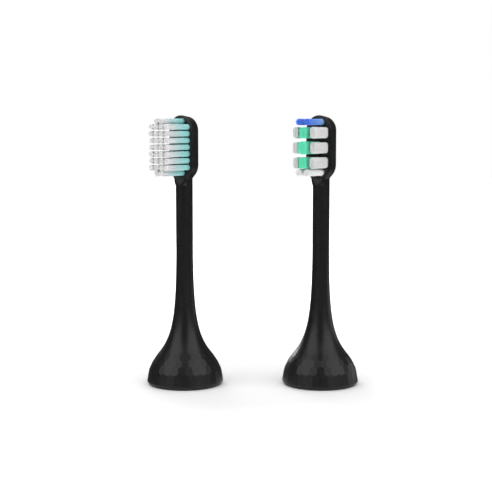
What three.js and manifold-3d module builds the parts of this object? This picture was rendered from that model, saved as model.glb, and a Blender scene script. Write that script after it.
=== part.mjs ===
// Two replacement brush heads for a sonic toothbrush, standing side by side on their bell-shaped bases.
// Millimetres, +Z up. The origin is on the surface that the heads stand on, midway between their axes.
// Each head is modelled in its own frame: its axis is Z, and its bristles point along -Y.
import * as THREE from 'three';
import { mergeVertices } from 'three/addons/utils/BufferGeometryUtils.js';
import Module from 'manifold-3d';

// Whole row
const HEIGHT = 87.6; // surface to the top of the head plate
const SPACING = 44.3; // between the two heads' axes
const TURN = -39 * Math.PI / 180; // of each head about its own axis
const FIT_GAP = 0.1; // clearance between pieces that seat on each other

// Outer skin
const STEM_R = 2.75;
const BELL_R = 12.46;
const BELL_R_AT_RING = 12.1;
const BELL_WIDEST_Z = 1.1;
const SHOULDER_R = 8.58; // where the convex dome turns into the concave flare
const SHOULDER_Z = 10.25;
const SHOULDER_LEAN = 0.83; // radius lost per unit of height there
const FLARE_TOP_Z = 46;
const DOME_PULL = { low: 2.9, high: 3 }; // how far the dome's Bezier handles reach along its height
const FLARE_PULL = { low: 6, high: 21.5, out: 0.1 }; // the same for the flare's, and its upper one's step out
const PROFILE_STEPS = 6; // to each curve of the bell's profile
const HALF_RING = 14; // points round half of a section

// Head plate
const PLATE_HALF_WIDTH = 5.05; // at its front face
const PLATE_INSET = 0.65; // how much narrower it is all round at its back
const PLATE_FRONT = 2; // front face ahead of the axis
const PLATE_BACK = 2.4; // back face behind the axis
const PLATE_TOP_ARC_Z = HEIGHT - PLATE_HALF_WIDTH; // centre of the round top
const PLATE_LOW_ARC_Z = 71.75; // centre of the round lower end
const FRONT_MORPH = [64.6, 69]; // where the front of the round stem turns into the plate's
const BACK_MORPH = [67.2, 70.8]; // and where its back does
const INSET_MORPH = [66.8, 69]; // and where the back starts to be narrower than the front
const ROUND = 2; // superellipse exponent of a circle
const PLATE_EDGE = 9; // the same for the plate's crisp edges
const BLEND = 8; // how tightly the stem's width blends into the plate's
const NECK_SECTIONS = [65.6, 66.4, 67, 67.6, 68.2, 68.8, 69.6, 70.6]; // heights between stem and plate
const TOP_SWEEPS = 10; // steps of the half turn over the round top

// Hollow bell and neck bore
const BELL_WALL = 1.3;
const CEILING_Z = 14;
const MOUTH_R = 11.3;
const MOUTH_Z = 2.4;
const MOUTH_STEP = 0.45; // from the inside of the wall in to the seat's corner
const WALL_LOW_Z = 3.4; // where the inside starts to follow the outside
const FLANGE_CLEARANCE = 0.4; // round the sleeve's flange
const SLEEVE_R = 2.5;
const SLEEVE_LOW_Z = 3;
const SLEEVE_TOP_Z = 24;

// Drive sleeve
const FLANGE_R = 4.1;
const FLANGE_THICKNESS = 0.9;
const SHAFT_R = 1.95;
const SHAFT_FLAT = 1.35; // from the axis to the flat of the D-shaped bore
const SHAFT_TOP_Z = 20;
const SLEEVE_SIDES = 24;
const CLIP_SIZE = { width: 1.5, thickness: 0.25, bow: 0.35, low: 5, high: 15 };
const CLIP_STEPS = 8; // along the leaf

// Base ring
const RING_R = 11.95;
const RING_HEIGHT = 0.6;
const SPIGOT_HEIGHT = 1.6;
const SPIGOT_WALL = 0.9;

// Bristles of the left head: nine rows of round tufts
const TUFT = { radius: 0.85, length: 10.2, depth: 2, pitch: 2.2 };
const TUFT_ROWS = { top: 85.55, firstFull: 83.75, pitch: 2.145, bottom: 69.08 };
const FULL_ROWS = 7;
const TUFT_SIDES = 10;

// Bristles of the right head: blocks and round tufts held by a bristle plate
const PAD = { halfWidth: 4.4, front: 2.45, back: 0.35, lowZ: 71.8 };
const BLOCK_ROWS = [81.9, 77.15, 72.4];
const BLOCK = { width: 1.8, height: 3.5, corner: 0.85, offset: 3.3, length: 7.35 };
const CENTRE_BLOCK = { width: 2.2, height: 3.4, corner: 0.85, length: 8 };
const CENTRE_ROUND = { width: 3.1, height: 4.0, corner: 1.45, length: 8.2 };
const END_TUFT = { offset: 1.65, topZ: 85.3, bottomZ: 69.3, topR: 1, bottomR: 1.1, length: 8.1 };
const TUFT_GAP = 0.06; // between a bristle group and its socket, all round
const CORNER_STEPS = 4; // round each corner of a block
const PAD_STEPS = 14; // round each end of the bristle plate
const THROUGH = 1; // how far a cutter reaches beyond the face it opens

const wasm = await Module();
wasm.setup();

// A closed three.js geometry as a manifold solid, with shared vertices merged and empty faces dropped.
function solid(geometry) {
  const bare = geometry.clone();
  bare.deleteAttribute('normal');
  bare.deleteAttribute('uv');
  const merged = mergeVertices(bare, 1e-4);
  const index = merged.index.array;
  const faces = [];
  for (let i = 0; i < index.length; i += 3) {
    const [a, b, c] = [index[i], index[i + 1], index[i + 2]];
    if (a !== b && b !== c && c !== a) faces.push(a, b, c);
  }
  const vertProperties = new Float32Array(merged.attributes.position.array);
  return new wasm.Manifold(new wasm.Mesh({ numProp: 3, vertProperties, triVerts: new Uint32Array(faces) }));
}

function geometryOf(body) {
  const mesh = body.getMesh();
  const geometry = new THREE.BufferGeometry();
  geometry.setAttribute('position', new THREE.BufferAttribute(mesh.vertProperties, 3));
  geometry.setIndex(new THREE.BufferAttribute(mesh.triVerts, 1));
  return geometry;
}

// A solid of revolution about Z from a profile of [radius, z] points that starts and ends on the axis
// or closes on itself.
function turned(profile, sides) {
  const points = profile.map(([radius, z]) => new THREE.Vector2(radius, z));
  return new THREE.LatheGeometry(points, sides).rotateX(Math.PI / 2);
}

// A shape across X and Z, drawn forward along -Y from the depth `from` to the depth `to`.
function drawnForward(shape, from, to, curveSegments) {
  const bar = new THREE.ExtrudeGeometry(shape, { depth: to - from, bevelEnabled: false, curveSegments });
  return bar.rotateX(Math.PI / 2).translate(0, -from, 0);
}

// A bar with a rounded rectangle as its section.
function roundedBar(width, height, corner, from, to) {
  const [x, y] = [width / 2, height / 2];
  const shape = new THREE.Shape();
  shape.moveTo(x, -y + corner);
  shape.absarc(x - corner, y - corner, corner, 0, Math.PI / 2);
  shape.absarc(-x + corner, y - corner, corner, Math.PI / 2, Math.PI);
  shape.absarc(-x + corner, -y + corner, corner, Math.PI, 1.5 * Math.PI);
  shape.absarc(x - corner, -y + corner, corner, 1.5 * Math.PI, 2 * Math.PI);
  return drawnForward(shape, from, to, CORNER_STEPS);
}

function roundBar(radius, from, to) {
  return new THREE.CylinderGeometry(radius, radius, to - from, TUFT_SIDES).translate(0, -(from + to) / 2, 0);
}

// The bell's outer profile from the base ring up to the plain stem.
function bellProfile() {
  const path = new THREE.Path();
  path.moveTo(BELL_R_AT_RING, RING_HEIGHT + FIT_GAP);
  path.quadraticCurveTo(BELL_R, RING_HEIGHT + FIT_GAP, BELL_R, BELL_WIDEST_Z);
  path.bezierCurveTo(
    BELL_R, BELL_WIDEST_Z + DOME_PULL.low,
    SHOULDER_R + SHOULDER_LEAN * DOME_PULL.high, SHOULDER_Z - DOME_PULL.high,
    SHOULDER_R, SHOULDER_Z);
  path.bezierCurveTo(
    SHOULDER_R - SHOULDER_LEAN * FLARE_PULL.low, SHOULDER_Z + FLARE_PULL.low,
    STEM_R + FLARE_PULL.out, FLARE_TOP_Z - FLARE_PULL.high,
    STEM_R, FLARE_TOP_Z);
  return path.getPoints(PROFILE_STEPS);
}

// The half-width of the head plate alone at a height.
function plateHalfWidth(z) {
  const drop = Math.max(PLATE_LOW_ARC_Z - z, 0);
  return Math.sqrt(Math.max(PLATE_HALF_WIDTH ** 2 - drop ** 2, 0));
}

// The section of the head at a height above the bell: its reach to each side, front and back, how square
// its front and back edges are, and how much it narrows towards the back.
function headSection(z) {
  const ahead = THREE.MathUtils.smoothstep(z, ...FRONT_MORPH);
  const behind = THREE.MathUtils.smoothstep(z, ...BACK_MORPH);
  return {
    z,
    side: (STEM_R ** BLEND + plateHalfWidth(z) ** BLEND) ** (1 / BLEND),
    front: THREE.MathUtils.lerp(STEM_R, PLATE_FRONT, ahead),
    back: THREE.MathUtils.lerp(STEM_R, PLATE_BACK, behind),
    frontEdge: THREE.MathUtils.lerp(ROUND, PLATE_EDGE, ahead),
    backEdge: THREE.MathUtils.lerp(ROUND, PLATE_EDGE, behind),
    inset: PLATE_INSET * THREE.MathUtils.smoothstep(z, ...INSET_MORPH),
  };
}

// The section of the bell or the plain stem, which is round.
function roundSection(radius, z) {
  return { z, side: radius, front: radius, back: radius, frontEdge: ROUND, backEdge: ROUND, inset: 0 };
}

// Point `step` of a section, counted from the middle of the front round by the right side.
function sectionPoint(section, step) {
  const angle = step * Math.PI / HALF_RING;
  const ahead = Math.cos(angle);
  const aside = Math.sin(angle);
  const edge = ahead > 0 ? section.frontEdge : section.backEdge;
  const reach = ahead > 0 ? section.front : section.back;
  const y = -Math.sign(ahead) * reach * Math.abs(ahead) ** (2 / edge);
  const narrowing = section.inset * (y + section.front) / (section.front + section.back);
  const x = Math.sign(aside) * (section.side - narrowing) * Math.abs(aside) ** (2 / edge);
  return new THREE.Vector3(x, y, section.z);
}

// The outer skin of one head as a closed solid: rings from the base to the round top, then the plate's
// section swept half a turn over the top.
function outerSkin() {
  const sections = bellProfile().map(({ x, y }) => roundSection(x, y));
  for (const z of [FRONT_MORPH[0], ...NECK_SECTIONS, PLATE_LOW_ARC_Z, PLATE_TOP_ARC_Z]) {
    sections.push(headSection(z));
  }
  const around = 2 * HALF_RING;
  const vertices = [new THREE.Vector3(0, 0, sections[0].z)];
  const faces = [];
  const ring = (row, step) => 1 + row * around + (step + around) % around;
  for (const section of sections) {
    for (let step = 0; step < around; step += 1) vertices.push(sectionPoint(section, step));
  }
  for (let step = 0; step < around; step += 1) faces.push(0, ring(0, step + 1), ring(0, step));
  for (let row = 0; row + 1 < sections.length; row += 1) {
    for (let step = 0; step < around; step += 1) {
      faces.push(ring(row, step), ring(row, step + 1), ring(row + 1, step + 1));
      faces.push(ring(row, step), ring(row + 1, step + 1), ring(row + 1, step));
    }
  }
  const top = sections.length - 1;
  const firstSwept = vertices.length;
  for (let sweep = 1; sweep < TOP_SWEEPS; sweep += 1) {
    const angle = sweep * Math.PI / TOP_SWEEPS;
    for (let step = 1; step < HALF_RING; step += 1) {
      const { x, y, z } = sectionPoint(sections[top], step);
      vertices.push(new THREE.Vector3(x * Math.cos(angle), y, z + x * Math.sin(angle)));
    }
  }
  const swept = (sweep, step) => {
    if (step === 0 || step === HALF_RING || sweep === 0) return ring(top, step);
    if (sweep === TOP_SWEEPS) return ring(top, -step);
    return firstSwept + (sweep - 1) * (HALF_RING - 1) + step - 1;
  };
  for (let sweep = 0; sweep < TOP_SWEEPS; sweep += 1) {
    for (let step = 0; step < HALF_RING; step += 1) {
      faces.push(swept(sweep, step), swept(sweep, step + 1), swept(sweep + 1, step + 1));
      faces.push(swept(sweep, step), swept(sweep + 1, step + 1), swept(sweep + 1, step));
    }
  }
  const geometry = new THREE.BufferGeometry().setFromPoints(vertices);
  geometry.setIndex(faces);
  return solid(geometry);
}

// The room inside the bell, with a seat for the base ring at its mouth and a bore for the drive sleeve.
function bellRoom() {
  const walls = bellProfile()
    .filter(({ y }) => y > WALL_LOW_Z && y < CEILING_Z)
    .map(({ x, y }) => [x - BELL_WALL, y]);
  const boreR = SLEEVE_R + FIT_GAP;
  const boreTop = SLEEVE_TOP_Z + FIT_GAP;
  const seatR = BELL_R - BELL_WALL - MOUTH_STEP;
  const mouth = [[0, -THROUGH], [MOUTH_R, -THROUGH], [MOUTH_R, MOUTH_Z], [seatR, MOUTH_Z]];
  const flangeRoomR = FLANGE_R + FLANGE_CLEARANCE;
  const ceiling = [[flangeRoomR, CEILING_Z], [boreR, CEILING_Z], [boreR, boreTop], [0, boreTop]];
  return solid(turned([...mouth, ...walls, ...ceiling], 2 * HALF_RING));
}

// Where the round tufts of the left head stand: two in the top and bottom rows, four in the others.
function tuftPlaces() {
  const places = [];
  const addRow = (row, z, columns) => {
    columns.forEach((column, i) => places.push({ row, column: i + 1, x: column * TUFT.pitch, z }));
  };
  addRow(1, TUFT_ROWS.top, [-0.5, 0.5]);
  for (let i = 0; i < FULL_ROWS; i += 1) {
    addRow(i + 2, TUFT_ROWS.firstFull - i * TUFT_ROWS.pitch, [-1.5, -0.5, 0.5, 1.5]);
  }
  addRow(FULL_ROWS + 2, TUFT_ROWS.bottom, [-0.5, 0.5]);
  return places;
}

// The bristle groups of the right head: each one's place, outline and length.
function blockPlaces() {
  const groups = [];
  const sides = [['left', -1], ['right', 1]];
  for (const [side, sign] of sides) {
    groups.push({ name: `top_tuft_${side}`, slot: 'blue', x: sign * END_TUFT.offset, z: END_TUFT.topZ,
      round: END_TUFT.topR, length: END_TUFT.length });
    groups.push({ name: `bottom_tuft_${side}`, slot: 'white', x: sign * END_TUFT.offset, z: END_TUFT.bottomZ,
      round: END_TUFT.bottomR, length: END_TUFT.length });
  }
  BLOCK_ROWS.forEach((z, i) => {
    for (const [side, sign] of sides) {
      groups.push({ name: `block_${i + 1}_${side}`, slot: 'white', x: sign * BLOCK.offset, z, ...BLOCK });
    }
    const centre = i === 1 ? CENTRE_ROUND : CENTRE_BLOCK;
    groups.push({ name: `block_${i + 1}_centre`, slot: 'green', x: 0, z, ...centre });
  });
  return groups;
}

// One bristle group of the right head between two depths, `grow` larger all round.
function bristleBar(group, from, to, grow) {
  const bar = group.round
    ? roundBar(group.round + grow, from, to)
    : roundedBar(group.width + 2 * grow, group.height + 2 * grow, group.corner + grow, from, to);
  return bar.translate(group.x, 0, group.z);
}

function leftShell() {
  let shell = outerSkin().subtract(bellRoom());
  for (const { x, z } of tuftPlaces()) {
    const socket = roundBar(TUFT.radius + TUFT_GAP, PLATE_FRONT - TUFT.depth, PLATE_FRONT + THROUGH);
    shell = shell.subtract(solid(socket.translate(x, 0, z)));
  }
  return geometryOf(shell);
}

// The bristle plate's outline: a bar with round ends that follows the head plate.
function padBar(grow, from, to) {
  const radius = PAD.halfWidth + grow;
  const shape = new THREE.Shape();
  shape.moveTo(radius, PAD.lowZ);
  shape.absarc(0, PLATE_TOP_ARC_Z, radius, 0, Math.PI);
  shape.absarc(0, PAD.lowZ, radius, Math.PI, 2 * Math.PI);
  return solid(drawnForward(shape, from, to, PAD_STEPS));
}

function rightShell() {
  const recess = padBar(FIT_GAP, PAD.back - 2 * FIT_GAP, PAD.front + THROUGH);
  return geometryOf(outerSkin().subtract(bellRoom()).subtract(recess));
}

function bristlePlate() {
  let plate = padBar(0, PAD.back, PAD.front);
  for (const group of blockPlaces()) {
    const socket = bristleBar(group, PAD.back - THROUGH, PAD.front + THROUGH, TUFT_GAP);
    plate = plate.subtract(solid(socket));
  }
  return geometryOf(plate);
}

// The insert that grips the handle's drive shaft: a flanged sleeve with a D-shaped bore and a pocket
// beside the flat for the spring clip.
function driveSleeve() {
  const flangeTop = CEILING_Z - FIT_GAP;
  const flangeLow = flangeTop - FLANGE_THICKNESS;
  const outside = solid(turned([
    [0, SLEEVE_LOW_Z], [SLEEVE_R, SLEEVE_LOW_Z], [SLEEVE_R, flangeLow], [FLANGE_R, flangeLow],
    [FLANGE_R, flangeTop], [SLEEVE_R, flangeTop], [SLEEVE_R, SLEEVE_TOP_Z], [0, SLEEVE_TOP_Z],
  ], SLEEVE_SIDES));
  const boreProfile = [[0, 0], [SHAFT_R, 0], [SHAFT_R, SHAFT_TOP_Z], [0, SHAFT_TOP_Z]];
  const bore = solid(turned(boreProfile, SLEEVE_SIDES));
  const flat = solid(new THREE.BoxGeometry(2 * FLANGE_R, FLANGE_R, 2 * SLEEVE_TOP_Z)
    .translate(0, SHAFT_FLAT + FLANGE_R / 2, 0));
  const pocketHeight = CLIP_SIZE.high - CLIP_SIZE.low + 2 * FIT_GAP;
  const pocketDepth = CLIP_SIZE.thickness + CLIP_SIZE.bow;
  const pocket = solid(new THREE.BoxGeometry(CLIP_SIZE.width + 2 * FIT_GAP, 2 * pocketDepth, pocketHeight)
    .translate(0, SHAFT_FLAT, (CLIP_SIZE.low + CLIP_SIZE.high) / 2));
  return geometryOf(outside.subtract(bore.subtract(flat)).subtract(pocket));
}

// The steel leaf in the sleeve's pocket, bowed towards the shaft's flat.
function springClip() {
  const { width, thickness, bow, low, high } = CLIP_SIZE;
  const wall = SHAFT_FLAT + thickness + bow - FIT_GAP;
  const [middle, bulge] = [(low + high) / 2, wall - 2 * bow];
  const shape = new THREE.Shape();
  shape.moveTo(wall, low);
  shape.quadraticCurveTo(bulge, middle, wall, high);
  shape.lineTo(wall - thickness, high);
  shape.quadraticCurveTo(bulge - thickness, middle, wall - thickness, low);
  shape.closePath();
  const leaf = new THREE.ExtrudeGeometry(shape, { depth: width, bevelEnabled: false, curveSegments: CLIP_STEPS });
  leaf.translate(0, 0, -width / 2);
  const axes = new THREE.Matrix4().makeBasis(
    new THREE.Vector3(0, 1, 0), new THREE.Vector3(0, 0, 1), new THREE.Vector3(1, 0, 0));
  return leaf.applyMatrix4(axes);
}

// The ring that closes the edge of the bell: a thin band under the wall and a spigot inside the mouth.
function baseRing() {
  const outer = MOUTH_R - FIT_GAP;
  const inner = outer - SPIGOT_WALL;
  return turned([
    [inner, 0], [RING_R, 0], [RING_R, RING_HEIGHT], [outer, RING_HEIGHT],
    [outer, SPIGOT_HEIGHT], [inner, SPIGOT_HEIGHT], [inner, 0],
  ], 2 * HALF_RING);
}

const MATERIALS = {
  shell: { color: 0x1b1b1c, roughness: 0.45, metalness: 0 },
  ring: { color: 0x232324, roughness: 0.5, metalness: 0 },
  sleeve: { color: 0xb9babc, roughness: 0.4, metalness: 0 },
  clip: { color: 0xc8cacc, roughness: 0.25, metalness: 1 },
  cyan: { color: 0x9fd6d2, roughness: 0.5, metalness: 0 },
  white: { color: 0xe2e2e2, roughness: 0.5, metalness: 0 },
  green: { color: 0x5fdeaf, roughness: 0.5, metalness: 0 },
  blue: { color: 0x5c84e8, roughness: 0.5, metalness: 0 },
};

function addPiece(group, name, geometry, slot) {
  const mesh = new THREE.Mesh(geometry, new THREE.MeshStandardMaterial(MATERIALS[slot]));
  mesh.name = name;
  group.add(mesh);
}

// What both heads have besides the shell and the bristles.
function addDrive(group, side) {
  addPiece(group, `${side}_drive_sleeve`, driveSleeve(), 'sleeve');
  addPiece(group, `${side}_spring_clip`, springClip(), 'clip');
  addPiece(group, `${side}_base_ring`, baseRing(), 'ring');
}

function leftHead() {
  const head = new THREE.Group();
  addPiece(head, 'left_head_shell', leftShell(), 'shell');
  addDrive(head, 'left');
  const [from, to] = [PLATE_FRONT - TUFT.depth + FIT_GAP, PLATE_FRONT + TUFT.length];
  for (const { row, column, x, z } of tuftPlaces()) {
    const tuft = roundBar(TUFT.radius, from, to).translate(x, 0, z);
    addPiece(head, `left_tuft_row${row}_${column}`, tuft, 'cyan');
  }
  return head;
}

function rightHead() {
  const head = new THREE.Group();
  addPiece(head, 'right_head_shell', rightShell(), 'shell');
  addPiece(head, 'right_bristle_plate', bristlePlate(), 'shell');
  addDrive(head, 'right');
  for (const group of blockPlaces()) {
    const bar = bristleBar(group, PAD.back, PAD.front + group.length, 0);
    addPiece(head, `right_${group.name}`, bar, group.slot);
  }
  return head;
}

const row = new THREE.Group();
for (const [head, sign] of [[leftHead(), -1], [rightHead(), 1]]) {
  head.position.x = sign * SPACING / 2;
  head.rotation.z = TURN;
  row.add(head);
}

export default row;
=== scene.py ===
"""Two sonic toothbrush heads, side by side on their hollow bases, in a plain pale studio.

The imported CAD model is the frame. The smooth mouldings, the honeycomb on the bells and the separate
filaments of the bristles are made here, in millimetres in each head's own axes: Z up the head's axis and
the bristles pointing along -Y. Each finished piece is moved from those axes to the row's.
"""

import math
import random

import bmesh
import bpy
from mathutils import Matrix, Vector


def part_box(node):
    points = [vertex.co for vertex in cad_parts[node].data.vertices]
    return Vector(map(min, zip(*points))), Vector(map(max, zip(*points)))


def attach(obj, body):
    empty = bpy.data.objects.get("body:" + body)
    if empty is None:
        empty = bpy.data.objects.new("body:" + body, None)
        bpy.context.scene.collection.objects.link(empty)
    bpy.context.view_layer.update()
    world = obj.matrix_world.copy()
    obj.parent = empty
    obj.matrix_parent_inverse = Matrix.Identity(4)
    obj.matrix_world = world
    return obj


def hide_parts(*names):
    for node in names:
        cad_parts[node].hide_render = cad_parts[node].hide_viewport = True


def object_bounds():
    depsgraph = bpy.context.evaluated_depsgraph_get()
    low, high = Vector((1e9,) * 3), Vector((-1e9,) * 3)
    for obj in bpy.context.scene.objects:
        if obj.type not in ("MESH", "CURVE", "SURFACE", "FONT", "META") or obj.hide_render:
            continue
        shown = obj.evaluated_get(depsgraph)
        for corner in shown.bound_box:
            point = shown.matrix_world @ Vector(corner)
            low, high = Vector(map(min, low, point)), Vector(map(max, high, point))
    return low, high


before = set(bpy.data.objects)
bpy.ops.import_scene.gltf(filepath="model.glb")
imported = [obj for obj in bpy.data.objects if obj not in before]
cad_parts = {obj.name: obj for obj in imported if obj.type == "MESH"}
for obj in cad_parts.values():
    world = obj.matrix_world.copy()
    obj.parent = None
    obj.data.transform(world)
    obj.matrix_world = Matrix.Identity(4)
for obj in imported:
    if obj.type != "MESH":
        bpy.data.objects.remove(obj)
cad_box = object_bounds()

MM = 0.001
SIDES = ("left", "right")
TURN = math.radians(-39)  # of each head about its own axis
FIT_GAP = 0.1  # clearance between pieces that seat on each other

# Outer skin of a head
HEIGHT = 87.6
STEM_R = 2.75
BELL_R = 12.46
LIP_R = 12.1  # the bell's lower edge, just above the base ring
LIP_Z = 0.7
LIP_STEPS = 6
WIDEST_Z = 1.1
SHOULDER = (8.58, 10.25)  # radius and height where the convex dome turns into the concave flare
SHOULDER_LEAN = 0.83  # radius lost per unit of height there
FLARE_TOP_Z = 46
DOME_PULL = {"low": 2.9, "high": 3}  # how far the dome's Bezier handles reach along its height
FLARE_PULL = {"low": 6, "high": 21.5, "out": 0.1}  # the same for the flare's, and its upper one's step out
PROFILE_STEPS = 60  # to each curve of the bell's profile
HEAD_STEPS = 30  # sections between the plain stem and the head plate
PLATE_HALF_WIDTH = 5.05
PLATE_INSET = 0.65  # how much narrower the head plate is all round at its back
PLATE_FRONT = 2.0
PLATE_BACK = 2.4
PLATE_TOP_ARC_Z = HEIGHT - PLATE_HALF_WIDTH
PLATE_LOW_ARC_Z = 71.75
FRONT_MORPH = (64.6, 69.0)  # where the front of the round stem turns into the plate's
BACK_MORPH = (67.2, 70.8)
INSET_MORPH = (66.8, 69.0)
ROUND = 2  # superellipse exponent of a circle
PLATE_EDGE = 9  # the same for the plate's crisp edges
BLEND = 8  # how tightly the stem's width blends into the plate's

# Honeycomb of flat facets round the bell
CELLS = 30  # round the bell
COLUMNS = 2 * CELLS  # points round every section of the skin
CELL_EDGES = (4.85, 7.33, 9.23, 11.05)  # mean heights of the zigzags above each row of cells
CELL_POINT = 0.125  # how far a zigzag swings from its mean height, as a share of a cell's width
CELL_FLAT = 0.88  # share of a cell that is flat; the rest is its soft edge
CELL_DEPTHS = (1, 1, 1, 0.5)  # how flat each row is; the top one fades into the smooth neck
NECK_START_Z = 11.9  # above this the skin is plainly round

# Hollow bell and neck bore
BELL_WALL = 1.3
CEILING_Z = 14
MOUTH_R = 11.3
MOUTH_Z = 2.4
MOUTH_STEP = 0.45  # how far the wall stands inside the mouth's top
WALL_LOW_Z = 3.4
WALL_STRIDE = 4  # every so many points of the skin's profile, one of the wall's

# Drive sleeve and spring clip
SLEEVE_R = 2.5
SLEEVE_LOW_Z = 3
SLEEVE_TOP_Z = 24
SLEEVE_SIDES = 64
FLANGE_R = 4.1
FLANGE_THICKNESS = 0.9
FLANGE_CLEARANCE = 0.4
SHAFT_R = 1.95
SHAFT_FLAT = 1.35  # from the axis to the flat of the bore
SHAFT_TOP_Z = 20
CLIP_WIDTH = 1.5
CLIP_THICKNESS = 0.25
CLIP_BOW = 0.35
CLIP_LOW_Z = 5
CLIP_HIGH_Z = 15
CLIP_STEPS = 24  # along the leaf

# Base ring
RING_R = 11.95
RING_HEIGHT = 0.6
RING_SIDES = 96
SPIGOT_HEIGHT = 1.6
SPIGOT_WALL = 0.9
RIM_CHAMFER = 0.12  # on the edges of the ring and of the sleeve

# How far the tips of a group fan out sideways and up, as a share of their place in it
WIDE_FAN = (0.2, 0.03)
SLIGHT_FAN = (0.03, 0.03)

# Bristles of the left head
TUFT_R = 0.85
TUFT_PITCH = 2.2
TUFT_LENGTH = 10.2
TUFT_DEPTH = 2
TUFT_TOP_Z = 85.55
TUFT_FULL_Z = 83.75
TUFT_ROW_PITCH = 2.145
TUFT_BOTTOM_Z = 69.08
FULL_ROWS = 7

# Bristles of the right head, in its bristle plate
PAD_HALF_WIDTH = 4.4
PAD_FRONT = 2.45
PAD_BACK = 0.35
PAD_LOW_Z = 71.8
PAD_EDGE = 0.25  # radius of its front edge
PAD_EDGE_STEPS = 4
PAD_STEPS = 20  # to a quarter turn of its outline
BLOCK_ROWS = (81.9, 77.15, 72.4)
BLOCK = {"width": 1.8, "height": 3.5, "corner": 0.85, "length": 7.35, "fan": WIDE_FAN}
BLOCK_OFFSET = 3.3
CENTRE_BLOCK = {"width": 2.2, "height": 3.4, "corner": 0.85, "length": 8, "fan": WIDE_FAN}
CENTRE_ROUND = {"width": 3.1, "height": 4, "corner": 1.45, "length": 8.2, "fan": SLIGHT_FAN}
END_TUFT_OFFSET = 1.65
END_TUFT_LENGTH = 8.1
TOP_TUFT = {"z": 85.3, "radius": 1}
BOTTOM_TUFT = {"z": 69.3, "radius": 1.1}
SOCKET_GAP = 0.06
SOCKET_CHAMFER = 0.1
SOCKET_STEPS = 6  # to a quarter turn of its outline
THROUGH = 1  # how far a cutter reaches beyond the face it opens

# Filaments
FILAMENT_R = 0.092
FILAMENT_PITCH = 0.186
FILAMENT_SIDES = 6
ROUNDING = ((1, 1), (0.35, 0.8), (0, 0.35))  # (depth below the tip, width) of its rounded end, in radii
TIP_JITTER = 0.14  # how unevenly the tips are trimmed
BLOCK_LEAN = 0.1  # how far the tips of the outer blocks stand off sideways
GROUP_LEAN = (0.15, 0.04)  # how far a whole group may lean sideways and up, at random
TIP_BEND = 0.05  # the same for a single filament, both ways
CHANCE_SEED = 7

# Camera
CAMERA_PLACE = (-2.18, -372, 83.8)
CAMERA_DIP = 5.92  # degrees below the horizon
CAMERA_LENS = 84.15
CAMERA_SENSOR = 36

# Stage, in metres
CAMERA_NEAR = 0.01
POOL_R = 0.06  # the part of the floor that shows in the row's gloss
POOL_AHEAD = 0.05  # how far in front of the row the middle of the pool lies
FLOOR_R = 1.5
FLOOR_SIDES = 96
FLOOR_FADE = (0.03, 0.25)  # distance from the middle over which the floor's own glow sets in
WORLD_SEEN = 1.0  # brightness of the surround to the camera
WORLD_FILL = 0.6  # the same as light on the row
WORLD_MIRRORED = 0.08  # the same in the row's gloss


# ---------------------------------------------------------------- camera, light and stage

def make_camera():
    """The viewpoint: in front of the row, level with the head plates and looking slightly down."""
    data = bpy.data.cameras.new("camera")
    data.sensor_width = CAMERA_SENSOR
    data.lens = CAMERA_LENS
    data.clip_start = CAMERA_NEAR
    camera = bpy.data.objects.new("camera", data)
    camera.location = [c * MM for c in CAMERA_PLACE]
    camera.rotation_euler = (math.radians(90 - CAMERA_DIP), 0, 0)
    bpy.context.scene.collection.objects.link(camera)
    bpy.context.scene.camera = camera


def softbox(name, azimuth, elevation, distance, size, radiance):
    """A rectangular lamp that faces the middle of the row, and that the camera doesn't see. Azimuth 0 is at
    the camera's side, and 90 on the right."""
    data = bpy.data.lights.new(name, "AREA")
    data.shape = "RECTANGLE"
    data.size, data.size_y = size
    data.energy = radiance * math.pi * size[0] * size[1]
    lamp = bpy.data.objects.new(name, data)
    around, up = math.radians(azimuth), math.radians(elevation)
    direction = Vector((math.sin(around) * math.cos(up), -math.cos(around) * math.cos(up), math.sin(up)))
    middle = (cad_box[0] + cad_box[1]) / 2
    lamp.location = middle + distance * direction
    lamp.rotation_euler = direction.to_track_quat("Z", "Y").to_euler()
    lamp.visible_camera = False
    bpy.context.scene.collection.objects.link(lamp)


def make_lights():
    softbox("key_left", azimuth=-58, elevation=37, distance=0.86, size=(0.9, 0.88), radiance=1.15)
    softbox("key_right", azimuth=57, elevation=37, distance=0.86, size=(1.0, 0.88), radiance=1.15)
    softbox("overhead", azimuth=180, elevation=62, distance=0.7, size=(0.8, 0.4), radiance=1.4)
    softbox("back_left", azimuth=-164, elevation=12, distance=0.45, size=(0.2, 0.14), radiance=7)
    softbox("low_right", azimuth=105, elevation=-18, distance=0.1, size=(0.07, 0.034), radiance=0.6)


def make_world():
    """A white background, and a dimmer surround for the light and the reflections that fall on the row."""
    world = bpy.data.worlds.new("studio")
    bpy.context.scene.world = world
    world.use_nodes = True
    tree = world.node_tree
    tree.nodes.clear()
    backgrounds = {}
    for name, level in (("seen", WORLD_SEEN), ("fill", WORLD_FILL), ("mirrored", WORLD_MIRRORED)):
        backgrounds[name] = tree.nodes.new("ShaderNodeBackground")
        backgrounds[name].inputs["Color"].default_value = (level, level, level, 1)
    path = tree.nodes.new("ShaderNodeLightPath")
    lighting = tree.nodes.new("ShaderNodeMixShader")
    tree.links.new(path.outputs["Is Glossy Ray"], lighting.inputs[0])
    tree.links.new(backgrounds["fill"].outputs[0], lighting.inputs[1])
    tree.links.new(backgrounds["mirrored"].outputs[0], lighting.inputs[2])
    everything = tree.nodes.new("ShaderNodeMixShader")
    tree.links.new(path.outputs["Is Camera Ray"], everything.inputs[0])
    tree.links.new(lighting.outputs[0], everything.inputs[1])
    tree.links.new(backgrounds["seen"].outputs[0], everything.inputs[2])
    output = tree.nodes.new("ShaderNodeOutputWorld")
    tree.links.new(everything.outputs[0], output.inputs["Surface"])


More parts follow.
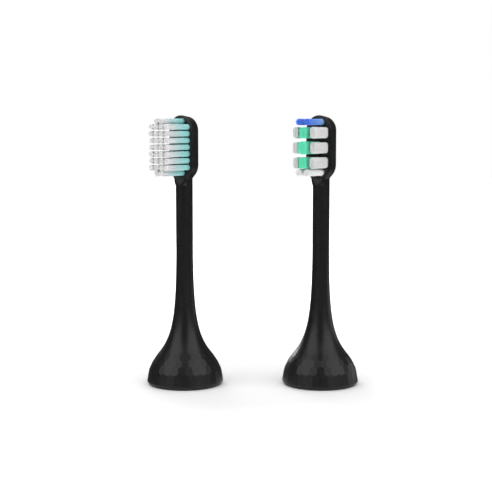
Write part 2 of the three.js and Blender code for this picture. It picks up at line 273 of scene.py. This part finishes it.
def floor_circle(radius, y):
    """Points anticlockwise round a circle on the floor, in metres."""
    angles = (i * math.tau / FLOOR_SIDES for i in range(FLOOR_SIDES))
    return [(radius * math.cos(angle), y + radius * math.sin(angle), 0) for angle in angles]


def make_floor(material):
    """A round pale floor. Only a pool of it, in front of the row, shows in the row's gloss."""
    pool = floor_circle(POOL_R, -POOL_AHEAD)
    edge = floor_circle(FLOOR_R, 0)
    rim = []
    for i in range(FLOOR_SIDES):
        ahead = (i + 1) % FLOOR_SIDES
        rim.append([i, FLOOR_SIDES + i, FLOOR_SIDES + ahead, ahead])
    disc = [range(FLOOR_SIDES)]
    for name, points, faces in (("floor_near", pool, disc), ("floor_far", pool + edge, rim)):
        mesh = bpy.data.meshes.new(name)
        mesh.from_pydata(points, [], faces)
        mesh.materials.append(material)
        floor = bpy.data.objects.new(name, mesh)
        floor.visible_glossy = name == "floor_near"
        bpy.context.scene.collection.objects.link(floor)


# ---------------------------------------------------------------- materials

class Surface:
    """A new material's nodes: its Principled shader, and short ways to add and link the others."""

    def __init__(self, name, **sockets):
        self.material = bpy.data.materials.new(name)
        self.material.use_nodes = True
        self.tree = self.material.node_tree
        self.shader = self.tree.nodes["Principled BSDF"]
        for socket, value in sockets.items():
            self.shader.inputs[socket.replace("_", " ").title().replace("Ior", "IOR")].default_value = value

    def add(self, kind, **settings):
        node = self.tree.nodes.new(f"ShaderNode{kind}")
        for name, value in settings.items():
            setattr(node, name, value)
        return node

    def link(self, source, target):
        self.tree.links.new(source, target)

    def coordinates(self, scale=(1, 1, 1), side=None):
        """The piece's coordinates in millimetres, times `scale`, in the named head's own axes if any."""
        position = self.add("TexCoord").outputs["Object"]
        if side:
            turn = self.add("Mapping", vector_type="TEXTURE")
            turn.inputs["Location"].default_value = axes_of(side).translation
            turn.inputs["Rotation"].default_value = (0, 0, TURN)
            self.link(position, turn.inputs["Vector"])
            position = turn.outputs[0]
        stretch = self.add("Mapping")
        stretch.inputs["Scale"].default_value = [s / MM for s in scale]
        self.link(position, stretch.inputs["Vector"])
        return stretch.outputs[0]

    def noise(self, scale, detail=2, stretch=(1, 1, 1), side=None):
        """Noise with about `scale` lumps to a millimetre."""
        node = self.add("TexNoise")
        node.inputs["Scale"].default_value = scale
        node.inputs["Detail"].default_value = detail
        self.link(self.coordinates(stretch, side), node.inputs["Vector"])
        return node.outputs["Fac"]

    def spread(self, value, low, high, start=0.3, end=0.7):
        """A value remapped so that start to end becomes low to high."""
        node = self.add("MapRange")
        for name, number in (("From Min", start), ("From Max", end), ("To Min", low), ("To Max", high)):
            node.inputs[name].default_value = number
        self.link(value, node.inputs["Value"])
        return node.outputs[0]

    def ramp(self, value, stops):
        """A colour ramp: (position, colour) stops."""
        node = self.add("ValToRGB")
        elements = node.color_ramp.elements
        while len(elements) < len(stops):
            elements.new(1)
        for element, (position, colour) in zip(elements, stops):
            element.position = position
            element.color = (*colour, 1)
        self.link(value, node.inputs["Fac"])
        return node.outputs["Color"]

    def bump(self, value, distance):
        """Lets a value lift the surface by up to `distance` millimetres."""
        node = self.add("Bump")
        node.inputs["Distance"].default_value = distance * MM
        self.link(value, node.inputs["Height"])
        self.link(node.outputs[0], self.shader.inputs["Normal"])


def moulded_plastic(name, dark, light, roughness, grain):
    """A moulding: its colour drifts between two shades, and a fine grain scatters its gloss."""
    surface = Surface(name)
    shades = [(0.3, dark), (0.7, light)]
    colour = surface.ramp(surface.noise(0.35, detail=4), shades)
    surface.link(colour, surface.shader.inputs["Base Color"])
    gloss = surface.spread(surface.noise(1.4, detail=5), roughness[0], roughness[1])
    surface.link(gloss, surface.shader.inputs["Roughness"])
    surface.bump(surface.noise(9, detail=3), distance=grain)
    return surface.material


def brushed_steel():
    """Spring steel, with the fine lines that rolling leaves along the leaf."""
    surface = Surface("spring_steel", metallic=1)
    lines = surface.noise(14, detail=3, stretch=(1, 1, 0.05))
    shades = [(0.3, (0.42, 0.43, 0.44)), (0.7, (0.66, 0.67, 0.68))]
    surface.link(surface.ramp(lines, shades), surface.shader.inputs["Base Color"])
    surface.link(surface.spread(lines, 0.22, 0.4), surface.shader.inputs["Roughness"])
    surface.bump(lines, distance=0.004)
    return surface.material


def nylon(name, side, root, length, stops):
    """Dyed nylon filaments. The colour runs along the bristles from the root's depth, and differs a little
    from filament to filament."""
    surface = Surface(name, subsurface_weight=0.5, subsurface_scale=1 * MM, subsurface_radius=(1, 1, 1))
    parts = surface.add("SeparateXYZ")
    surface.link(surface.coordinates(side=side), parts.inputs[0])
    along = surface.spread(parts.outputs["Y"], 0, 1, start=-root, end=-root - length)
    dye = surface.ramp(along, stops)
    filament = surface.noise(4.2, detail=1, stretch=(1, 0.03, 1), side=side)
    shade = surface.ramp(filament, [(0.3, (0.9, 0.9, 0.9)), (0.7, (1, 1, 1))])
    product = surface.add("Mix", data_type="RGBA", blend_type="MULTIPLY")
    product.inputs["Factor"].default_value = 1
    surface.link(dye, product.inputs["A"])
    surface.link(shade, product.inputs["B"])
    surface.link(product.outputs["Result"], surface.shader.inputs["Base Color"])
    surface.link(surface.spread(filament, 0.36, 0.5), surface.shader.inputs["Roughness"])
    return surface.material


def pale_floor():
    """Nearly white where the lamps light it, and glowing by itself further away as their light fades."""
    surface = Surface("pale_floor", base_color=(0.86, 0.86, 0.86, 1), roughness=1,
                      emission_color=(1, 1, 1, 1))
    length = surface.add("VectorMath", operation="LENGTH")
    surface.link(surface.add("TexCoord").outputs["Object"], length.inputs[0])
    glow = surface.spread(length.outputs["Value"], 0, 1, *FLOOR_FADE)
    surface.link(glow, surface.shader.inputs["Emission Strength"])
    return surface.material


def grey(level):
    return level, level, level


def make_materials():
    return {
        "shell": moulded_plastic("satin_black", dark=(0.005, 0.005, 0.0052), light=(0.0075, 0.0075, 0.0078),
                                 roughness=(0.27, 0.35), grain=0.008),
        "ring": moulded_plastic("ring_black", dark=(0.022, 0.022, 0.0225), light=(0.03, 0.03, 0.0305),
                                roughness=(0.42, 0.52), grain=0.01),
        "sleeve": moulded_plastic("sleeve_grey", dark=(0.4, 0.41, 0.42), light=(0.5, 0.5, 0.51),
                                  roughness=(0.35, 0.5), grain=0.015),
        "clip": brushed_steel(),
        "cyan_white": nylon("cyan_to_white_nylon", "left", PLATE_FRONT, TUFT_LENGTH, [
            (0, (0.3, 0.88, 0.86)), (0.25, (0.4, 0.86, 0.85)),
            (0.55, (0.62, 0.83, 0.84)), (0.85, grey(0.88))]),
        "white": nylon("white_nylon", "right", PAD_FRONT, BLOCK["length"], [
            (0, grey(0.75)), (1, grey(0.82))]),
        # painted light: a lighter copy of the white nylon for the right head's bottom tufts, which lifts
        # the shade that the blocks above cast on them
        "painted_lit_white": nylon("painted_lit_white_nylon", "right", PAD_FRONT, END_TUFT_LENGTH, [
            (0, grey(0.9)), (1, grey(0.93))]),
        "green": nylon("green_nylon", "right", PAD_FRONT, CENTRE_BLOCK["length"], [
            (0, (0.11, 0.82, 0.5)), (1, (0.15, 0.98, 0.62))]),
        "blue": nylon("blue_nylon", "right", PAD_FRONT, END_TUFT_LENGTH, [
            (0, (0.24, 0.48, 1)), (1, (0.07, 0.2, 1))]),
        "floor": pale_floor(),
    }


# ---------------------------------------------------------------- meshes

def axes_of(side):
    """The move from a head's own axes to the row's: its axis runs through the middle of its base ring."""
    low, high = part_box(f"{side}_base_ring")
    middle = (low + high) / 2
    return Matrix.Translation((middle.x, middle.y, 0)) @ Matrix.Rotation(TURN, 4, "Z")


def mesh_object(name, vertices, faces):
    """A new object from points in millimetres, with its faces turned outwards."""
    mesh = bpy.data.meshes.new(name)
    mesh.from_pydata([[c * MM for c in v] for v in vertices], [], faces)
    work = bmesh.new()
    work.from_mesh(mesh)
    bmesh.ops.recalc_face_normals(work, faces=work.faces)
    work.to_mesh(mesh)
    work.free()
    made = bpy.data.objects.new(name, mesh)
    bpy.context.scene.collection.objects.link(made)
    return made


def cut(body, cutters):
    """Subtracts the cutters from the body, and removes them."""
    for cutter in cutters:
        modifier = body.modifiers.new("cut", "BOOLEAN")
        modifier.operation = "DIFFERENCE"
        modifier.solver = "EXACT"
        modifier.object = cutter
    depsgraph = bpy.context.evaluated_depsgraph_get()
    result = bpy.data.meshes.new_from_object(body.evaluated_get(depsgraph))
    body.modifiers.clear()
    body.data = result
    for cutter in cutters:
        bpy.data.objects.remove(cutter)


def soften(body, sharpest=40):
    """Smooth shading that keeps large faces flat and edges over `sharpest` degrees crisp."""
    body.data.shade_smooth()
    body.data.set_sharp_from_angle(angle=math.radians(sharpest))
    weighted = body.modifiers.new("weighted", "WEIGHTED_NORMAL")
    weighted.keep_sharp = True


def turned(name, profile, sides):
    """A solid of revolution about Z from a profile of (radius, z) points: a closed loop, or a line that
    starts and ends on the axis."""
    vertices = []
    rows = []
    for radius, z in profile:
        if radius == 0:
            rows.append([len(vertices)] * sides)
            vertices.append((0, 0, z))
        else:
            rows.append(list(range(len(vertices), len(vertices) + sides)))
            for i in range(sides):
                angle = i * math.tau / sides
                vertices.append((radius * math.sin(angle), -radius * math.cos(angle), z))
    loop = profile[0][0] > 0
    faces = []
    for row, following in zip(rows, rows[1:] + (rows[:1] if loop else [])):
        for i in range(sides):
            ahead = (i + 1) % sides
            corners = [row[i], row[ahead], following[ahead], following[i]]
            faces.append(list(dict.fromkeys(corners)))
    return mesh_object(name, vertices, faces)


def prism(name, outline, layers):
    """A solid with `outline` as its section across X and Z, drawn along -Y through (depth, grow) layers."""
    vertices = []
    for depth, grow in layers:
        vertices += [(x, -depth, z) for x, z in outline(grow)]
    count = len(vertices) // len(layers)
    faces = [list(range(count)), list(range(len(vertices) - count, len(vertices)))]
    for layer in range(len(layers) - 1):
        for i in range(count):
            low, ahead = layer * count + i, layer * count + (i + 1) % count
            faces.append([low, ahead, ahead + count, low + count])
    return mesh_object(name, vertices, faces)


def box_between(name, low, high):
    """A box from its lowest corner to its highest one."""
    (x0, y0, z0), (x1, y1, z1) = low, high
    points = [(x, y, z) for z in (z0, z1) for x, y in ((x0, y0), (x1, y0), (x1, y1), (x0, y1))]
    sides = [[i, (i + 1) % 4, (i + 1) % 4 + 4, i + 4] for i in range(4)]
    return mesh_object(name, points, [[3, 2, 1, 0], [4, 5, 6, 7], *sides])


def rounded_outline(x, z, width, height, corner, corner_steps):
    """A rounded rectangle's outline as a function of how much larger it is all round. A corner of half the
    width and height makes a circle."""
    def outline(grow):
        points = []
        radius = corner + grow
        reach_x, reach_z = width / 2 - corner, height / 2 - corner
        for quarter, (sign_x, sign_z) in enumerate(((1, 1), (-1, 1), (-1, -1), (1, -1))):
            for i in range(corner_steps):
                angle = (quarter + (i + 0.5) / corner_steps) * math.pi / 2
                points.append((x + sign_x * reach_x + radius * math.cos(angle),
                               z + sign_z * reach_z + radius * math.sin(angle)))
        return points
    return outline


def bezier(points, steps):
    """Points along a Bezier curve, after its first one."""
    order = len(points) - 1
    found = []
    for i in range(1, steps + 1):
        t = i / steps
        weights = [math.comb(order, k) * t**k * (1 - t)**(order - k) for k in range(order + 1)]
        found.append(tuple(sum(w * p[axis] for w, p in zip(weights, points)) for axis in (0, 1)))
    return found


# ---------------------------------------------------------------- the skin of a head

def lip_profile():
    """(radius, z) points of the rounded edge under the bell's widest part."""
    return bezier([(LIP_R, LIP_Z), (BELL_R, LIP_Z), (BELL_R, WIDEST_Z)], LIP_STEPS)


def bell_profile():
    """(radius, z) points of the dome and the flare, from the bell's widest part up to the plain stem."""
    radius, z = SHOULDER
    dome = bezier([
        (BELL_R, WIDEST_Z),
        (BELL_R, WIDEST_Z + DOME_PULL["low"]),
        (radius + SHOULDER_LEAN * DOME_PULL["high"], z - DOME_PULL["high"]),
        SHOULDER,
    ], PROFILE_STEPS)
    flare = bezier([
        SHOULDER,
        (radius - SHOULDER_LEAN * FLARE_PULL["low"], z + FLARE_PULL["low"]),
        (STEM_R + FLARE_PULL["out"], FLARE_TOP_Z - FLARE_PULL["high"]),
        (STEM_R, FLARE_TOP_Z),
    ], PROFILE_STEPS)
    return [(BELL_R, WIDEST_Z), *dome, *flare]


def radius_at(profile, z):
    """The radius of a profile of rising (radius, z) points at a height."""
    for (r0, z0), (r1, z1) in zip(profile, profile[1:]):
        if z <= z1:
            return r0 + (r1 - r0) * (z - z0) / (z1 - z0)
    return profile[-1][0]


def smoothstep(z, start, end):
    t = min(max((z - start) / (end - start), 0), 1)
    return t * t * (3 - 2 * t)


def mix(a, b, share):
    return a + (b - a) * share


def head_section(z):
    """The skin's reach to each side, front and back at a height above the bell, how square its edges are,
    and how much it narrows towards the back."""
    ahead = smoothstep(z, *FRONT_MORPH)
    behind = smoothstep(z, *BACK_MORPH)
    drop = max(PLATE_LOW_ARC_Z - z, 0)
    plate = math.sqrt(max(PLATE_HALF_WIDTH**2 - drop**2, 0))
    return {
        "side": (STEM_R**BLEND + plate**BLEND) ** (1 / BLEND),
        "front": mix(STEM_R, PLATE_FRONT, ahead),
        "back": mix(STEM_R, PLATE_BACK, behind),
        "front_edge": mix(ROUND, PLATE_EDGE, ahead),
        "back_edge": mix(ROUND, PLATE_EDGE, behind),
        "inset": PLATE_INSET * smoothstep(z, *INSET_MORPH),
    }


def section_point(section, column):
    """(x, y) of a section at a column, counted from the middle of the front round by the right side."""
    angle = column * math.tau / COLUMNS
    ahead, aside = math.cos(angle), math.sin(angle)
    edge = section["front_edge"] if ahead > 0 else section["back_edge"]
    reach = section["front"] if ahead > 0 else section["back"]
    y = -math.copysign(reach * abs(ahead) ** (2 / edge), ahead)
    narrowing = section["inset"] * (y + section["front"]) / (section["front"] + section["back"])
    x = math.copysign((section["side"] - narrowing) * abs(aside) ** (2 / edge), aside)
    return x, y


class Skin:
    """Points and faces of a head's moulding, added ring by ring."""

    def __init__(self):
        self.points = []
        self.faces = []

    def point(self, x, y, z):
        self.points.append((x, y, z))
        return len(self.points) - 1

    def round_point(self, radius, column, z):
        angle = column * math.tau / COLUMNS
        return self.point(radius * math.sin(angle), -radius * math.cos(angle), z)

    def ring(self, radius, z):
        return [self.round_point(radius, column, z) for column in range(COLUMNS)]

    def band(self, low, high):
        """Quads between two rings."""
        for i in range(len(low)):
            ahead = (i + 1) % len(low)
            self.faces.append([low[i], low[ahead], high[ahead], high[i]])

    def stack(self, rings):
        for low, high in zip(rings, rings[1:]):
            self.band(low, high)
        return rings[-1]


def zigzag(skin, profile, height, row):
    """The ring between one row of cells and the next: high in the middle of the cells below it, low in the
    middle of those above."""
    swing = CELL_POINT * math.tau * radius_at(profile, height) / CELLS
    ring = []
    for column in range(COLUMNS):
        z = height + (swing if column % 2 == (row + 1) % 2 else -swing)
        ring.append(skin.round_point(radius_at(profile, z), column, z))
    return ring


def add_cell(skin, corners, column, depth):
    """One cell of the honeycomb: a facet inside the corners, which lie on the round surface, and a narrow
    edge between. `depth` says how flat the facet is, from 0, where it follows its corners, to 1."""
    angle = column * math.tau / COLUMNS
    outward = Vector((math.sin(angle), -math.cos(angle), 0))
    across = Vector((math.cos(angle), math.sin(angle), 0))
    local = []
    for corner in corners:
        point = Vector(skin.points[corner])
        local.append((point.dot(outward), point.dot(across), point.z))
    count = len(local)
    mean_out = sum(p[0] for p in local) / count
    mean_z = sum(p[2] for p in local) / count
    rise = sum((p[0] - mean_out) * (p[2] - mean_z) for p in local)
    slope = rise / sum((p[2] - mean_z) ** 2 for p in local)
    inner = []
    for out, along, z in local:
        z_in = mix(mean_z, z, CELL_FLAT)
        out_flat = mean_out + slope * (z_in - mean_z)
        out_in = mix(mix(mean_out, out, CELL_FLAT), out_flat, depth)
        place = outward * out_in + across * (along * CELL_FLAT)
        inner.append(skin.point(place.x, place.y, z_in))
    skin.faces.append(inner)
    for i in range(count):
        ahead = (i + 1) % count
        skin.faces.append([corners[i], corners[ahead], inner[ahead], inner[i]])


def add_honeycomb(skin, profile, rim):
    """Rows of cells from the ring `rim` up. Returns the zigzag above the top row."""
    low = rim
    for row, (height, depth) in enumerate(zip(CELL_EDGES, CELL_DEPTHS)):
        high = zigzag(skin, profile, height, row)
        for column in range((row + 1) % 2, COLUMNS, 2):
            before, after = (column - 1) % COLUMNS, (column + 1) % COLUMNS
            corners = [low[before], low[column], low[after], high[after], high[column], high[before]]
            add_cell(skin, corners, column, depth)
        low = high
    return low


def add_round_top(skin, section, ring):
    """Closes the head: the plate's right half swept half a turn over the top, onto its left half."""
    half = COLUMNS // 2
    rows = [[ring[column] for column in range(half + 1)]]
    for sweep in range(1, half):
        angle = sweep * math.pi / half
        row = [ring[0]]
        for column in range(1, half):
            x, y = section_point(section, column)
            row.append(skin.point(x * math.cos(angle), y, PLATE_TOP_ARC_Z + x * math.sin(angle)))
        rows.append(row + [ring[half]])
    rows.append([ring[-column % COLUMNS] for column in range(half + 1)])
    for low, high in zip(rows, rows[1:]):
        for i in range(half):
            corners = [low[i], low[i + 1], high[i + 1], high[i]]
            skin.faces.append(list(dict.fromkeys(corners)))


def add_head(skin, ring):
    """The skin from a ring on the stem up over the head plate."""
    heights = [mix(FRONT_MORPH[0], PLATE_LOW_ARC_Z, i / HEAD_STEPS) for i in range(HEAD_STEPS + 1)]
    heights.append(PLATE_TOP_ARC_Z)
    rings = [ring]
    for z in heights:
        section = head_section(z)
        rings.append([skin.point(*section_point(section, column), z) for column in range(COLUMNS)])
    add_round_top(skin, head_section(PLATE_TOP_ARC_Z), skin.stack(rings))


def room_profile(profile):
    """(radius, z) points of the hollow inside the bell, from its mouth to the top of the neck bore."""
    bore = SLEEVE_R + FIT_GAP
    walls = [(r - BELL_WALL, z) for r, z in profile if WALL_LOW_Z < z < CEILING_Z]
    return [
        (MOUTH_R, LIP_Z), (MOUTH_R, MOUTH_Z), (BELL_R - BELL_WALL - MOUTH_STEP, MOUTH_Z),
        *walls[::WALL_STRIDE],
        (FLANGE_R + FLANGE_CLEARANCE, CEILING_Z), (bore, CEILING_Z), (bore, SLEEVE_TOP_Z + FIT_GAP),
    ]


def head_moulding(name):
    """The bell, neck and head plate in one closed, hollow moulding, without its sockets."""
    skin = Skin()
    profile = bell_profile()
    lip = [skin.ring(LIP_R, LIP_Z)] + [skin.ring(r, z) for r, z in lip_profile()]
    crown = add_honeycomb(skin, profile, skin.stack(lip))
    neck = [skin.ring(r, z) for r, z in profile if z > NECK_START_Z]
    add_head(skin, skin.stack([crown, *neck]))
    room = [skin.ring(r, z) for r, z in room_profile(profile)]
    skin.faces.append(skin.stack([lip[0], *room]))
    return mesh_object(name, skin.points, skin.faces)


# ---------------------------------------------------------------- bristles

def round_group(x, z, radius, length, fan):
    size = 2 * radius
    return {"x": x, "z": z, "width": size, "height": size, "corner": radius, "length": length, "fan": fan}


def left_groups():
    """The left head's round tufts by the name of their CAD node."""
    rows = [(TUFT_TOP_Z, 2)]
    rows += [(TUFT_FULL_Z - i * TUFT_ROW_PITCH, 4) for i in range(FULL_ROWS)]
    rows += [(TUFT_BOTTOM_Z, 2)]
    groups = {}
    for row, (z, count) in enumerate(rows, start=1):
        for column in range(count):
            x = (column - (count - 1) / 2) * TUFT_PITCH
            groups[f"left_tuft_row{row}_{column + 1}"] = round_group(x, z, TUFT_R, TUFT_LENGTH, WIDE_FAN)
    return groups


def right_groups():
    """The right head's blocks and round tufts by the name of their CAD node."""
    groups = {}
    for side, sign in (("left", -1), ("right", 1)):
        for end, tuft in (("top", TOP_TUFT), ("bottom", BOTTOM_TUFT)):
            groups[f"right_{end}_tuft_{side}"] = round_group(
                sign * END_TUFT_OFFSET, tuft["z"], tuft["radius"], END_TUFT_LENGTH, SLIGHT_FAN)
        for i, z in enumerate(BLOCK_ROWS, start=1):
            groups[f"right_block_{i}_{side}"] = {"x": sign * BLOCK_OFFSET, "z": z, **BLOCK}
    for i, z in enumerate(BLOCK_ROWS, start=1):
        centre = CENTRE_ROUND if i == 2 else CENTRE_BLOCK
        groups[f"right_block_{i}_centre"] = {"x": 0, "z": z, **centre}
    return groups


def filament_spots(group):
    """Places of the filaments in a group, from its middle: a hexagonal packing that fills its outline."""
    reach_x, reach_z = (group[key] / 2 - group["corner"] for key in ("width", "height"))
    room = group["corner"] - FILAMENT_R
    row_pitch = FILAMENT_PITCH * math.sqrt(3) / 2
    rows = math.ceil(group["height"] / 2 / row_pitch)
    columns = math.ceil(group["width"] / 2 / FILAMENT_PITCH) + 1
    spots = []
    for row in range(-rows, rows + 1):
        for column in range(-columns, columns + 1):
            x = (column + (row % 2) / 2) * FILAMENT_PITCH
            z = row * row_pitch
            if math.hypot(max(abs(x) - reach_x, 0), max(abs(z) - reach_z, 0)) <= room:
                spots.append((x, z))
    fill_x, fill_z = ((size / 2 - FILAMENT_R) / max(spot[axis] for spot in spots)
                      for axis, size in enumerate((group["width"], group["height"])))
    return [(x * fill_x, z * fill_z) for x, z in spots]


def filament(x, z, root, tip, lean):
    """Points and faces of one filament from depth `root` to depth `tip`, with a rounded end. `lean` is how
    far its tip stands off its root's place."""
    stations = [(root, 1), ((root + tip) / 2, 1)]
    stations += [(tip - below * FILAMENT_R, width) for below, width in ROUNDING]
    points = []
    for depth, width in stations:
        share = ((depth - root) / (tip - root)) ** 2
        for side in range(FILAMENT_SIDES):
            angle = side * math.tau / FILAMENT_SIDES
            points.append((x + lean[0] * share + FILAMENT_R * width * math.cos(angle), -depth,
                           z + lean[1] * share + FILAMENT_R * width * math.sin(angle)))
    faces = [list(range(FILAMENT_SIDES)), list(range(len(points) - FILAMENT_SIDES, len(points)))]
    for station in range(len(stations) - 1):
        for side in range(FILAMENT_SIDES):
            low = station * FILAMENT_SIDES + side
            ahead = station * FILAMENT_SIDES + (side + 1) % FILAMENT_SIDES
            faces.append([low, ahead, ahead + FILAMENT_SIDES, low + FILAMENT_SIDES])
    return points, faces


def bristle_group(name, group, root, front, chance):
    """A group of loose filaments that stand in their socket and fan out a little towards their tips."""
    points = []
    faces = []
    fan = group["fan"]
    outward = math.copysign(BLOCK_LEAN, group["x"]) if abs(group["x"]) == BLOCK_OFFSET else 0
    aside, up = (chance.uniform(-most, most) for most in GROUP_LEAN)
    for x, z in filament_spots(group):
        tip = front + group["length"] - chance.uniform(0, TIP_JITTER)
        lean = (outward + aside + fan[0] * x + chance.uniform(-TIP_BEND, TIP_BEND),
                up + fan[1] * z + chance.uniform(-TIP_BEND, TIP_BEND))
        more_points, more_faces = filament(group["x"] + x, group["z"] + z, root, tip, lean)
        faces += [[len(points) + i for i in face] for face in more_faces]
        points += more_points
    made = mesh_object(name, points, faces)
    soften(made)
    return made


# ---------------------------------------------------------------- the pieces

def place(piece, side, node, slot, material):
    """Moves a piece to its head, gives it its material, and lets it stand for its CAD node."""
    piece.data.materials.clear()
    piece.data.materials.append(material)
    piece.data.transform(axes_of(side))
    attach(piece, f"{side}_head")
    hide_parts(node)


def socket_cutter(group, bottom, front):
    """A hole for a bristle group, with a small chamfer at its mouth."""
    shape = (group[key] for key in ("x", "z", "width", "height", "corner"))
    outline = rounded_outline(*shape, SOCKET_STEPS)
    layers = [
        (bottom, SOCKET_GAP),
        (front - SOCKET_CHAMFER, SOCKET_GAP),
        (front + THROUGH, SOCKET_GAP + SOCKET_CHAMFER + THROUGH),
    ]
    return prism("socket", outline, layers)


def pad_outline(grow):
    """The bristle plate's outline: a bar with round ends that follows the head plate."""
    middle = (PLATE_TOP_ARC_Z + PAD_LOW_Z) / 2
    height = PLATE_TOP_ARC_Z - PAD_LOW_Z + 2 * PAD_HALF_WIDTH
    return rounded_outline(0, middle, 2 * PAD_HALF_WIDTH, height, PAD_HALF_WIDTH, PAD_STEPS)(grow)


def left_shell():
    """The moulding with a blind socket for each tuft."""
    shell = head_moulding("left_head_moulding")
    bottom = PLATE_FRONT - TUFT_DEPTH
    cut(shell, [socket_cutter(group, bottom, PLATE_FRONT) for group in left_groups().values()])
    return shell


def right_shell():
    """The moulding with a recess for the bristle plate."""
    shell = head_moulding("right_head_moulding")
    recess = [(PAD_BACK - 2 * FIT_GAP, FIT_GAP), (PAD_FRONT + THROUGH, FIT_GAP)]
    cut(shell, [prism("recess", pad_outline, recess)])
    return shell


def bristle_plate():
    """The plate that holds the right head's bristles, with a rounded front edge and open sockets."""
    layers = [(PAD_BACK, 0)]
    for i in range(PAD_EDGE_STEPS + 1):
        angle = i / PAD_EDGE_STEPS * math.pi / 2
        depth = PAD_FRONT - PAD_EDGE + PAD_EDGE * math.sin(angle)
        layers.append((depth, PAD_EDGE * (math.cos(angle) - 1)))
    plate = prism("right_bristle_carrier", pad_outline, layers)
    cut(plate, [socket_cutter(group, PAD_BACK - THROUGH, PAD_FRONT) for group in right_groups().values()])
    return plate


def base_ring(side):
    """The band under the bell's edge and the spigot inside its mouth."""
    outer = MOUTH_R - FIT_GAP
    inner = outer - SPIGOT_WALL
    c = RIM_CHAMFER
    return turned(f"{side}_foot_ring", [
        (inner, 0), (RING_R - c, 0), (RING_R, c),
        (RING_R, RING_HEIGHT - c), (RING_R - c, RING_HEIGHT), (outer, RING_HEIGHT),
        (outer, SPIGOT_HEIGHT - c), (outer - c, SPIGOT_HEIGHT), (inner, SPIGOT_HEIGHT),
    ], RING_SIDES)


def drive_sleeve(side):
    """The flanged sleeve with its D-shaped bore and the pocket for the spring clip."""
    flange_top = CEILING_Z - FIT_GAP
    flange_low = flange_top - FLANGE_THICKNESS
    c = RIM_CHAMFER
    sleeve = turned(f"{side}_shaft_sleeve", [
        (0, SLEEVE_LOW_Z), (SLEEVE_R - c, SLEEVE_LOW_Z), (SLEEVE_R, SLEEVE_LOW_Z + c),
        (SLEEVE_R, flange_low), (FLANGE_R - c, flange_low), (FLANGE_R, flange_low + c),
        (FLANGE_R, flange_top), (SLEEVE_R, flange_top), (SLEEVE_R, SLEEVE_TOP_Z), (0, SLEEVE_TOP_Z),
    ], SLEEVE_SIDES)
    bore = turned("bore", [(0, 0), (SHAFT_R, 0), (SHAFT_R, SHAFT_TOP_Z), (0, SHAFT_TOP_Z)], SLEEVE_SIDES)
    flat = box_between("flat", (-FLANGE_R, SHAFT_FLAT, -THROUGH), (FLANGE_R, FLANGE_R, SLEEVE_TOP_Z))
    cut(bore, [flat])
    half = CLIP_WIDTH / 2 + FIT_GAP
    depth = CLIP_THICKNESS + CLIP_BOW
    pocket = box_between("pocket", (-half, SHAFT_FLAT - depth, CLIP_LOW_Z - FIT_GAP),
                         (half, SHAFT_FLAT + depth, CLIP_HIGH_Z + FIT_GAP))
    cut(sleeve, [bore, pocket])
    return sleeve


def spring_clip(side):
    """The steel leaf in the sleeve's pocket, bowed towards the shaft's flat."""
    wall = SHAFT_FLAT + CLIP_THICKNESS + CLIP_BOW - FIT_GAP
    middle = (CLIP_LOW_Z + CLIP_HIGH_Z) / 2
    ends = (wall, CLIP_LOW_Z), (wall, CLIP_HIGH_Z)
    outside = [ends[0], *bezier([ends[0], (wall - 2 * CLIP_BOW, middle), ends[1]], CLIP_STEPS)]
    inside = [(y - CLIP_THICKNESS, z) for y, z in reversed(outside)]
    loop = outside + inside
    points = [(x, y, z) for x in (-CLIP_WIDTH / 2, CLIP_WIDTH / 2) for y, z in loop]
    count = len(loop)
    faces = [[i, (i + 1) % count, (i + 1) % count + count, i + count] for i in range(count)]
    for start in (0, count):
        for i in range(len(outside) - 1):
            faces.append([start + i, start + i + 1, start + count - 2 - i, start + count - 1 - i])
    return mesh_object(f"{side}_spring_leaf", points, faces)


def build_mouldings(materials):
    """Both heads' mouldings and the right one's bristle plate."""
    for side, shell in (("left", left_shell()), ("right", right_shell())):
        soften(shell)
        place(shell, side, f"{side}_head_shell", "shell_plastic", materials["shell"])
    plate = bristle_plate()
    soften(plate)
    place(plate, "right", "right_bristle_plate", "shell_plastic", materials["shell"])


def build_drives(materials):
    """The base ring, drive sleeve and spring clip of both heads."""
    for side in SIDES:
        for node, made, slot, key in (
            ("base_ring", base_ring(side), "ring_rubber", "ring"),
            ("drive_sleeve", drive_sleeve(side), "sleeve_plastic", "sleeve"),
            ("spring_clip", spring_clip(side), "clip_steel", "clip"),
        ):
            soften(made, 30)
            place(made, side, f"{side}_{node}", slot, materials[key])


def kind_of(node):
    """The key of a bristle node's material, and its slot."""
    if node.startswith("left_"):
        return "cyan_white", "cyan_white_bristle"
    if "top_tuft" in node:
        return "blue", "blue_bristle"
    if "centre" in node:
        return "green", "green_bristle"
    # the bottom tufts get the lighter copy of the white nylon, painted light against the shade from the
    # blocks above
    if "bottom_tuft" in node:
        return "painted_lit_white", "white_bristle"
    return "white", "white_bristle"


def build_bristles(materials):
    """Every tuft and block, each standing for its own CAD node."""
    chance = random.Random(CHANCE_SEED)
    heads = (
        ("left", left_groups(), PLATE_FRONT - TUFT_DEPTH + FIT_GAP, PLATE_FRONT),
        ("right", right_groups(), PAD_BACK, PAD_FRONT),
    )
    for side, groups, root, front in heads:
        for node, group in groups.items():
            key, slot = kind_of(node)
            made = bristle_group(f"{node}_filaments", group, root, front, chance)
            place(made, side, node, slot, materials[key])


bpy.context.scene.view_settings.view_transform = "Standard"
make_camera()
make_lights()
make_world()
materials = make_materials()
make_floor(materials["floor"])
build_mouldings(materials)
build_drives(materials)
build_bristles(materials)
